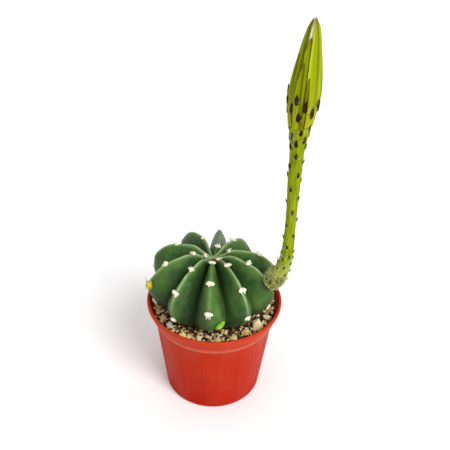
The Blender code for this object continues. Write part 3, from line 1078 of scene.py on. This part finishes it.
def build_areoles(cream):
    """Cream wool pads with a few pointed tufts, fine fibres and short spines."""
    patterns = stone_patterns("pad", 3, 0.5, SEED + 900)
    draw = random.Random(SEED + 40)
    fibres = Hairs(draw)
    spines = Hairs(draw)
    pads, tones = [], []
    for rib, shares in enumerate(AREOLES):
        for share in shares:
            place, outward, down = rib_point(rib, place_on_crest(share))
            side = outward.cross(down)
            size = 0.72 + 0.28 * min(1.0, share / 0.3)
            wide = draw.uniform(2.5, 2.8) * size * MM
            tall = draw.uniform(1.5, 1.8) * size * MM
            thick = draw.uniform(1.0, 1.3) * size * MM
            centre = place + outward * 0.15 * MM
            which = draw.randrange(PATTERNS)
            pads.append((which, frame_matrix(centre, outward, side, (wide, tall, thick))))
            tones.append(draw.uniform(0.85, 1.0))
            for index in range(draw.choice((2, 3, 3))):
                lean = draw.uniform(-0.55, 0.55)
                start = centre + side * lean * wide * 0.8 + down * tall * 0.35
                heading = down * draw.uniform(0.9, 1.2) + outward * draw.uniform(0.2, 0.55)
                heading += side * lean * 0.4
                spines.add(
                    start, heading, draw.uniform(1.8, 2.8) * size, draw.uniform(0.7, 0.95), 0.7, 1.0
                )
            for index in range(70):
                angle = draw.uniform(0, math.tau)
                spread = math.sqrt(draw.random())
                start = centre + side * math.cos(angle) * spread * wide * 0.9
                start += down * math.sin(angle) * spread * tall * 0.9
                start += outward * thick * (1 - spread) * 0.7
                heading = outward * draw.uniform(0.4, 1.2) + side * math.cos(angle) * spread
                heading += down * (math.sin(angle) * spread + draw.uniform(0.0, 0.4))
                fibres.add(
                    start, heading, draw.uniform(0.5, 1.1) * size, draw.uniform(0.04, 0.07), 0.8, 1.0
                )
    top = BODY_AXIS + Vector((0.0, 0.0, 103.4)) * MM
    for count in range(60):
        start = top + Vector((draw.uniform(-1.6, 1.6), draw.uniform(-1.6, 1.6), 0.0)) * MM
        heading = Vector((draw.uniform(-0.6, 0.6), draw.uniform(-0.6, 0.6), 1.0))
        fibres.add(start, heading, draw.uniform(0.6, 1.4), 0.05, 0.3)
    wool_piece = scatter("areole_wool", patterns, pads, tones)
    smooth(wool_piece)
    finish(wool_piece, cream, "cactus_skin")
    fibres.join("areole_fibres", 6.0, cream, "cactus_skin")
    spines.join("areole_spines", 0.0, cream, "cactus_skin", rounded=True)


# ---------------------------------------------------------------- flower

TUBE = [point * MM for point in smooth_path(TUBE_PATH, 161)]
GOLDEN_ANGLE = math.radians(137.5)


def tube_frame(share):
    """Centre, radius and heading of the tube at a share of its path."""
    last = len(TUBE) - 1
    index = min(int(share * last), last)
    ahead = TUBE[min(index + 2, last)] - TUBE[max(index - 2, 0)]
    return TUBE[index].to_3d(), TUBE[index].w, ahead.to_3d().normalized()


def swept(name, line):
    """A round tube with closed ends along points that each carry their own radius."""
    curve = bpy.data.curves.new(name, 'CURVE')
    curve.dimensions = '3D'
    curve.bevel_depth = 1.0
    curve.bevel_resolution = 14
    curve.use_fill_caps = True
    spline = curve.splines.new('POLY')
    spline.points.add(len(line) - 1)
    for point, (x, y, z, radius) in zip(spline.points, line):
        point.co = (x, y, z, 1.0)
        point.radius = radius
    tube = bpy.data.objects.new(name, curve)
    bpy.context.scene.collection.objects.link(tube)
    work_on(tube)
    bpy.ops.object.convert(target='MESH')
    tube = bpy.context.object
    with editing(tube):
        bpy.ops.mesh.remove_doubles(threshold=0.01 * MM)
        bpy.ops.mesh.normals_make_consistent(inside=False)
    return tube


def build_tube():
    tube = swept("flower_stalk", TUBE)
    line = np.array([point[:3] for point in TUBE])
    shares = []
    for vert in tube.data.vertices:
        nearest = int(np.argmin(((line - np.array(vert.co)) ** 2).sum(axis=1)))
        away = vert.co - Vector(line[nearest])
        angle = math.atan2(away.y, away.x)
        share = nearest / (len(TUBE) - 1)
        ridge = math.sin(angle * 8 + share * 9) * 0.12 * MM
        lump = noise.noise(vert.co / (2.6 * MM)) * 0.22 * MM
        vert.co += away.normalized() * (ridge + lump)
        shares.append(share)
    smooth(tube, 60)
    set_attribute(tube, "along", shares)
    finish(tube, tube_skin(), "flower_tube", "flower_tube")


def bud_radius(along):
    """Outer radius of the bud, along 0 at its foot to 1 at its tip."""
    place = max(0.0, min(along, 1.0)) * (len(BUD_OUTLINE) - 1)
    index = min(int(place), len(BUD_OUTLINE) - 2)
    t = place - index
    t = t * t * (3 - 2 * t) * 0.35 + t * 0.65
    return (BUD_OUTLINE[index] + (BUD_OUTLINE[index + 1] - BUD_OUTLINE[index]) * t) * MM


def bud_point(along, angle, radius):
    return BUD_FOOT.lerp(BUD_TIP, along) + Vector((math.cos(angle), math.sin(angle), 0.0)) * radius


# The side of the bud painted yellower as painted light from the lamps, as an angle round it
LIT_SIDE_ANGLE = math.radians(-62)


def build_tepal(name, middle, end, widest, lift, blush, material, sway, *nodes):
    """A long pointed tepal that hugs the bud: a grid, laid on the bud and thickened."""
    start = 0.01 if nodes else 0.0
    clear_selection()
    bpy.ops.mesh.primitive_grid_add(x_subdivisions=16, y_subdivisions=60, size=2.0)
    tepal = take_new(name)
    values = {key: [] for key in ("across", "along", "blush", "lit_side")}
    for vert in tepal.data.vertices:
        across = vert.co.x
        along = (vert.co.y + 1) / 2
        place = start + (end - start) * along
        shape = math.sin(math.pi * min(1.0, 0.30 + 0.70 * along)) ** 0.62 if along > 0.28 else 1.0
        half = widest * max(shape, 0.0)
        radius = bud_radius(place) + lift
        half_angle = min(half * MM / max(radius, 1.0 * MM), 1.35)
        angle = middle + sway * along + across * half_angle
        keel = 0.45 * MM * max(0.0, 1 - abs(across) * 2.6) * (1 - along * 0.5)
        rolled = 0.34 * MM * max(0.0, abs(across) - 0.72) / 0.28
        groove = -0.30 * MM * math.exp(-((across - 0.55) / 0.20) ** 2)
        vert.co = bud_point(place, angle, radius + keel + rolled + groove - 0.4 * MM)
        values["across"].append((across + 1) / 2)
        values["along"].append(along)
        values["blush"].append(max(0.0, blush * (abs(across) - 0.55) / 0.45, blush - 1.0))
        # Painted light: how far this tepal faces the lit side
        values["lit_side"].append(max(0.0, math.cos(middle - LIT_SIDE_ANGLE)) ** 5)
    for key, numbers in values.items():
        set_attribute(tepal, key, numbers)
    face_outwards(tepal)
    thicken = tepal.modifiers.new("Thickness", 'SOLIDIFY')
    thicken.thickness = 0.5 * MM
    thicken.offset = 0.0
    round_off = tepal.modifiers.new("Soft edge", 'SUBSURF')
    round_off.levels = 1
    round_off.render_levels = 1
    apply_modifiers(tepal)
    smooth(tepal)
    finish(tepal, material, "outer_tepals", *nodes)


# The long tepals that differ from the rest: end along the bud, blush, turn in degrees.
# Blush browns the edges; what is over 1 browns the whole tepal.
TEPALS = 8
LONG_TEPALS = {5: (0.83, 1.0, -2), 4: (0.97, 1.0, 2), 6: (0.995, 0.1, -5)}

# The short tepals at the foot of the bud: azimuth, end along the bud, half width, blush
SHORT_TEPALS = (
    (-87, 0.50, 1.2, 1.75), (-119, 0.62, 2.3, 1.0), (-162, 0.68, 2.7, 0.9), (15, 0.70, 2.8, 0.4),
    (75, 0.56, 2.6, 0.5), (125, 0.76, 2.9, 0.6),
)


def build_bud(tepal_material, petal_material):
    draw = random.Random(SEED + 77)
    core = []
    for step in range(50):
        along = 0.005 + step / 49 * 0.985
        centre = BUD_FOOT.lerp(BUD_TIP, along)
        core.append((*centre, max(bud_radius(along) - 1.4 * MM, 0.4 * MM)))
    petals = swept("folded_petals", core)
    for vert in petals.data.vertices:
        along = (vert.co.z - BUD_FOOT.z) / (BUD_TIP.z - BUD_FOOT.z)
        away = vert.co - BUD_FOOT.lerp(BUD_TIP, along)
        fold = math.sin(math.atan2(away.y, away.x) * 7 + along * 5) * 0.28 * MM
        vert.co += away.normalized() * fold * min(1.0, away.length / (3 * MM))
    smooth(petals, 60)
    finish(petals, petal_material, "inner_petals", "inner_petals")

    for index in range(TEPALS):
        lift = -0.15 * MM if index % 2 else 0.15 * MM
        usual = (0.96 + 0.02 * (index % 2), 0.3 * draw.random(), 0)
        end, blush, turn = LONG_TEPALS.get(index, usual)
        middle = math.tau * (index + 0.6) / TEPALS + math.radians(turn)
        build_tepal(
            f"long_tepal_{index + 1}", middle, end, 3.75, lift, blush, tepal_material,
            draw.uniform(-0.05, 0.05), f"tepal_{index + 1}",
        )
    for index, (azimuth, end, half, blush) in enumerate(SHORT_TEPALS):
        build_tepal(
            f"short_tepal_{index + 1}", math.radians(azimuth), end, half, 0.45 * MM, blush,
            tepal_material, draw.uniform(-0.05, 0.05),
        )


def scale_pattern():
    """A teardrop scale along +Z: pointed at the top, a keel down its back (+Y)."""
    clear_selection()
    bpy.ops.mesh.primitive_uv_sphere_add(segments=8, ring_count=7, radius=1.0)
    scale = take_new("scale")
    for vert in scale.data.vertices:
        z = (vert.co.z + 1) / 2
        narrow = 1 - z ** 2.2 * 0.85
        vert.co.x *= narrow
        vert.co.y *= 0.34 * narrow
        vert.co.y += 0.25 * z * z
        vert.co.z = z
    return as_pattern(scale)


def build_scales_and_hairs(scale_material, hair_material):
    """Pointed scales in spirals up the tube and bud, dark above, with fine hairs beside each."""
    draw = random.Random(SEED + 130)
    hairs = Hairs(draw)
    scales, tones = [], []

    def add_scale(ring, angle, size, lean, tone, tuft):
        """Ring is a centre, radius and heading; size is width, depth and length in millimetres."""
        centre, radius, heading = ring
        reference = Vector((math.cos(angle), math.sin(angle), 0.0))
        out = (reference - heading * reference.dot(heading)).normalized()
        place = centre + out * radius
        tip = (heading + out * lean).normalized()
        side = tip.cross(out).normalized()
        width, depth, length = [part * MM for part in size]
        scales.append((0, frame_matrix(place, tip, -side, (width, depth, length))))
        tones.append(tone)
        for index in range(tuft):
            beside = draw.choice((-1, 1)) * draw.uniform(0.9, 1.4) * width
            start = place + side * beside + tip * draw.uniform(0, 0.5) * length
            way = tip * draw.uniform(0.5, 1.2) + out * draw.uniform(0.25, 1.0)
            way += side * draw.uniform(-0.7, 0.7)
            hairs.add(start, way, draw.uniform(1.4, 4.0), draw.uniform(0.03, 0.065), 0.3, 1.0)

    # the foot: crowded small pale scales in wool
    for index in range(150):
        centre, radius, heading = tube_frame(0.005 + 0.19 * (index / 150) ** 1.1)
        length = draw.uniform(2.4, 3.8)
        tone = draw.uniform(0.84, 1.0) if draw.random() > 0.12 else draw.uniform(0.5, 0.8)
        ring = (centre, radius * 0.98, heading)
        add_scale(ring, index * GOLDEN_ANGLE, (0.55, 0.8, length), 0.32, tone, 4)
    # the tube: widely spaced, darker from half way up
    for index in range(42):
        share = 0.20 + 0.66 * index / 42
        size = 0.7 + 0.5 * share
        length = draw.uniform(3.3, 4.3) * size
        tone = draw.uniform(0.1, 0.78) if share > 0.5 else draw.uniform(0.62, 0.88)
        sides = ((0.55 + 0.6 * share) * size, 1.1 * size, length)
        add_scale(tube_frame(share), index * GOLDEN_ANGLE + 0.4, sides, 0.18, tone, 6)
    # the top of the tube: larger and closer
    for index in range(16):
        centre, radius, heading = tube_frame(0.87 + 0.125 * index / 16)
        sides = (1.35, 1.3, draw.uniform(4.8, 5.8))
        ring = (centre, radius * 1.01, heading)
        add_scale(ring, index * GOLDEN_ANGLE + 1.1, sides, 0.14, draw.uniform(0.0, 0.5), 8)
    # the foot of the bud
    axis = (BUD_TIP - BUD_FOOT).normalized()
    for index in range(17):
        along = 0.06 + 0.21 * index / 17
        ring = (BUD_FOOT.lerp(BUD_TIP, along), bud_radius(along) + 0.85 * MM, axis)
        sides = (1.6, 1.3, draw.uniform(6.0, 7.4))
        add_scale(ring, index * GOLDEN_ANGLE + 2.0, sides, 0.05, draw.uniform(0.0, 0.4), 9)
    piece = scatter("tube_scales", [scale_pattern()], scales, tones)
    smooth(piece)
    finish(piece, scale_material, "bracts", *[f"bud_bract_{index + 1}" for index in range(6)])
    hairs.join("tube_hairs", 9.0, hair_material, "flower_tube")


def build_foot_wool(pale_wool):
    """Pale wool of the flowering areole, thinning out up the foot of the tube."""
    draw = random.Random(SEED + 222)
    hairs = Hairs(draw)
    for index in range(620):
        angle = draw.uniform(0, math.tau)
        middle, wide, way = tube_frame(0.46 * draw.random() ** 1.9)
        reference = Vector((math.cos(angle), math.sin(angle), draw.uniform(-0.4, 0.4)))
        out = (reference - way * reference.dot(way)).normalized()
        start = middle + out * wide * 0.95
        direction = out * draw.uniform(0.1, 0.45) + way * draw.uniform(0.6, 1.2)
        direction += Vector((draw.uniform(-0.4, 0.4), draw.uniform(-0.4, 0.4), 0))
        hairs.add(start, direction, draw.uniform(1.8, 3.6), draw.uniform(0.06, 0.15), 0.3, 1.0)
    hairs.join("flower_foot_wool", 9.0, pale_wool, "flower_tube")


# ---------------------------------------------------------------- young growths

def build_side_bud(wool_material, bristle_material):
    centre, half = cad_box("side_bud")
    clear_selection()
    bpy.ops.mesh.primitive_uv_sphere_add(segments=24, ring_count=16, radius=1.0)
    bud = take_new("young_bud")
    for vert in bud.data.vertices:
        lump = 1 + 0.16 * noise.noise(vert.co * 3.0)
        lump += 0.08 * math.sin(math.atan2(vert.co.y, vert.co.x) * 6)
        vert.co = centre + stretched(vert.co, half) * lump * 1.2
    smooth(bud)
    tones = [0.75 + 0.25 * (vert.co.z - centre.z) / half.z for vert in bud.data.vertices]
    set_attribute(bud, "tone", tones)
    finish(bud, wool_material, "side_bud", "side_bud")
    draw = random.Random(SEED + 301)
    hairs = Hairs(draw)
    for index in range(160):
        away = any_direction(draw).normalized()
        start = centre + stretched(away, half) * 1.1
        hairs.add(start, away + Vector((0, 0, 0.3)), draw.uniform(0.7, 1.6), 0.035, 0.3, 1.0)
    hairs.join("young_bud_hairs", 5.0, wool_material, "side_bud")
    bristles = Hairs(draw)
    for sideways, length in ((-0.35, 6.0), (-0.75, 3.0), (0.1, 2.8), (-1.3, 2.2)):
        start = centre + Vector((sideways * half.x * 0.5, 0, half.z))
        bristles.add(start, Vector((sideways, -0.2, 1.0)), length, 0.17, 0.3)
    bristles.join("young_bud_bristles", 2.0, bristle_material, "side_bud")


def build_shoot(material):
    centre, half = cad_box("basal_shoot")
    centre += Vector((-0.4, 0.8, 1.1)) * MM
    clear_selection()
    bpy.ops.mesh.primitive_uv_sphere_add(segments=40, ring_count=20, radius=1.0)
    shoot = take_new("young_shoot")
    tilt = Matrix.Rotation(math.radians(36), 3, 'Y')
    for vert in shoot.data.vertices:
        rib = 1 + 0.07 * math.cos(math.atan2(vert.co.y, vert.co.x) * 5) * (1 - vert.co.z ** 2)
        thin = rib * (1 - 0.35 * max(0.0, vert.co.z))
        vert.co = centre + tilt @ stretched(vert.co, (half.x * 0.72 * thin, half.y * thin, half.z * 1.5))
    smooth(shoot)
    finish(shoot, material, "basal_shoot", "basal_shoot")


# ---------------------------------------------------------------- everything

def main():
    add_camera()
    add_stage()
    pale = toned("pale_pumice", 0.85, PALE_STONE, 0.24, 0.16)
    tan = toned("tan_pumice", 0.85, TAN_STONE, 0.2, 0.16)
    bark = toned("bark_crumbs", 0.9, BARK, 0.6, 0.12)
    cream_wool = wool("cream_wool", (1.0, 0.97, 0.79), (0.90, 0.78, 0.46))
    pale_wool = wool("pale_wool", (0.92, 0.95, 0.68), (0.62, 0.66, 0.26))
    bud_wool = wool("bud_wool", (0.72, 0.62, 0.07), (0.42, 0.20, 0.08))

    build_pot()
    build_soil()
    build_stones(pale, tan)
    build_loose_grit(pale, bark)
    build_body()
    build_areoles(cream_wool)
    build_tube()
    build_bud(tepal_skin(), petal_skin())
    dark_scale = scale_skin()
    build_scales_and_hairs(dark_scale, pale_wool)
    build_foot_wool(pale_wool)
    build_side_bud(bud_wool, dark_scale)
    build_shoot(shoot_skin())


main()
